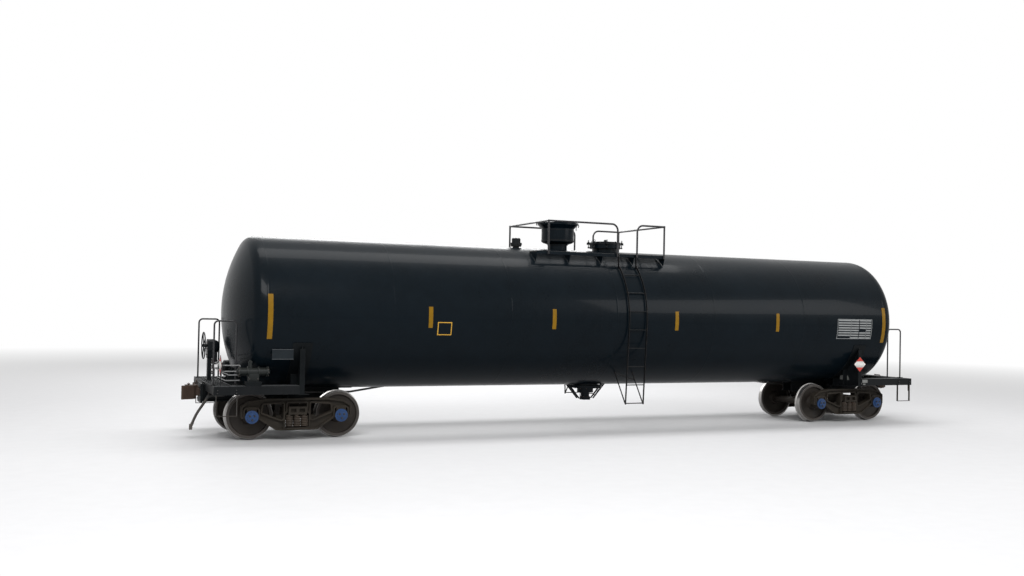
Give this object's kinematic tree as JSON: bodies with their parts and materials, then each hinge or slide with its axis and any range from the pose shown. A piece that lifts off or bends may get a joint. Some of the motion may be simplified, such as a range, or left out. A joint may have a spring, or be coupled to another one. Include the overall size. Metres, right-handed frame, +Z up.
{
  "type": "railway tank car",
  "caption": "Stub-sill railway tank car with a long dark cylindrical tank, top platform, side ladders, end decks, swivelling trucks and knuckle couplers.",
  "frame": {"origin": "on the floor under the middle of the car, at the height of the wheel flanges' lowest point", "axes": "+X runs along the car to the A end, -X to the end with the hand brake, +Y to the far side of the picture, +Z up"},
  "size_m": [18.169, 3.2598, 4.7043],
  "materials": {
    "tank_paint": "gloss",
    "fitting_paint": "satin",
    "frame_paint": "satin",
    "step_paint": "satin",
    "ladder_paint": "satin",
    "rail_steel": "satin",
    "grating_steel": "satin",
    "valve_steel": "satin",
    "rusty_steel": "matte",
    "rusty_casting": "matte",
    "truck_casting": "matte",
    "spring_steel": "matte",
    "wheel_steel": "satin",
    "cap_paint": "satin",
    "hose_rubber": "matte"
  },
  "bodies": {
    "car_body": {"air_hose_A": "hose_rubber", "air_hose_B": "hose_rubber", "air_reservoir": "fitting_paint", "body_bolster_A": "frame_paint", "body_bolster_B": "frame_paint", "bottom_outlet": "tank_paint", "brake_valve": "valve_steel", "brake_wheel": "fitting_paint", "end_deck_A": "frame_paint", "end_deck_B": "frame_paint", "end_rails_A": "rail_steel", "end_rails_B": "rail_steel", "glad_hand_A": "valve_steel", "glad_hand_B": "valve_steel", "hand_brake": "fitting_paint", "housing_valves": "valve_steel", "ladder_far": "ladder_paint", "ladder_near": "ladder_paint", "manway_nozzle": "tank_paint", "platform_frame": "tank_paint", "platform_grating": "grating_steel", "platform_railing": "rail_steel", "safety_valve": "fitting_paint", "sill_steps_A": "step_paint", "sill_steps_B": "step_paint", "stub_sill_A": "frame_paint", "stub_sill_B": "frame_paint", "tank": "tank_paint", "train_pipe": "rusty_steel", "uncoupling_lever_A": "rusty_steel", "uncoupling_lever_B": "rusty_steel", "valve_housing": "tank_paint"},
    "truck_A": {"bearings_A": "truck_casting", "brake_beams_A": "truck_casting", "side_frames_A": "truck_casting", "springs_A": "spring_steel", "truck_bolster_A": "truck_casting"},
    "truck_B": {"bearings_B": "truck_casting", "brake_beams_B": "truck_casting", "side_frames_B": "truck_casting", "springs_B": "spring_steel", "truck_bolster_B": "truck_casting"},
    "coupler_A": {"coupler_A": "rusty_casting"},
    "coupler_B": {"coupler_B": "rusty_casting"},
    "axle_A1": {"end_caps_A1": "cap_paint", "wheelset_A1": "wheel_steel"},
    "axle_A2": {"end_caps_A2": "cap_paint", "wheelset_A2": "wheel_steel"},
    "axle_B1": {"end_caps_B1": "cap_paint", "wheelset_B1": "wheel_steel"},
    "axle_B2": {"end_caps_B2": "cap_paint", "wheelset_B2": "wheel_steel"},
    "housing_lid": {"housing_lid": "tank_paint"},
    "knuckle_A": {"knuckle_A": "rusty_casting"},
    "knuckle_B": {"knuckle_B": "rusty_casting"},
    "manway_cover": {"manway_cover": "fitting_paint"}
  },
  "joints": [
    {"name": "truck_swivel_A", "type": "hinge", "parent": "car_body", "child": "truck_A", "pos_m": [6.97, 0, 0.6725], "axis": [0, 0, 1], "range_deg": [-8, 8]},
    {"name": "axle_spin_A1", "type": "hinge", "parent": "truck_A", "child": "axle_A1", "pos_m": [6.081, 0, 0.484], "axis": [0, 1, 0], "continuous": true},
    {"name": "axle_spin_A2", "type": "hinge", "parent": "truck_A", "child": "axle_A2", "pos_m": [7.859, 0, 0.484], "axis": [0, 1, 0], "continuous": true},
    {"name": "coupler_swing_A", "type": "hinge", "parent": "car_body", "child": "coupler_A", "pos_m": [8.15, 0, 0.903], "axis": [0, 0, 1], "range_deg": [-7, 7]},
    {"name": "knuckle_open_A", "type": "hinge", "parent": "coupler_A", "child": "knuckle_A", "pos_m": [8.91, -0.125, 0.903], "axis": [0, 0, -1], "range_deg": [0, 45]},
    {"name": "truck_swivel_B", "type": "hinge", "parent": "car_body", "child": "truck_B", "pos_m": [-6.97, 0, 0.6725], "axis": [0, 0, 1], "range_deg": [-8, 8]},
    {"name": "axle_spin_B1", "type": "hinge", "parent": "truck_B", "child": "axle_B1", "pos_m": [-7.859, 0, 0.484], "axis": [0, 1, 0], "continuous": true},
    {"name": "axle_spin_B2", "type": "hinge", "parent": "truck_B", "child": "axle_B2", "pos_m": [-6.081, 0, 0.484], "axis": [0, 1, 0], "continuous": true},
    {"name": "coupler_swing_B", "type": "hinge", "parent": "car_body", "child": "coupler_B", "pos_m": [-8.15, 0, 0.903], "axis": [0, 0, 1], "range_deg": [-7, 7]},
    {"name": "knuckle_open_B", "type": "hinge", "parent": "coupler_B", "child": "knuckle_B", "pos_m": [-8.91, 0.125, 0.903], "axis": [0, 0, -1], "range_deg": [0, 45]},
    {"name": "manway_hinge", "type": "hinge", "parent": "car_body", "child": "manway_cover", "pos_m": [0.5, 0.47, 4.2653], "axis": [-1, 0, 0], "range_deg": [0, 100]},
    {"name": "housing_hinge", "type": "hinge", "parent": "car_body", "child": "housing_lid", "pos_m": [-0.757, 0.52, 4.6803], "axis": [-1, 0, 0], "range_deg": [0, 100]}
  ]
}
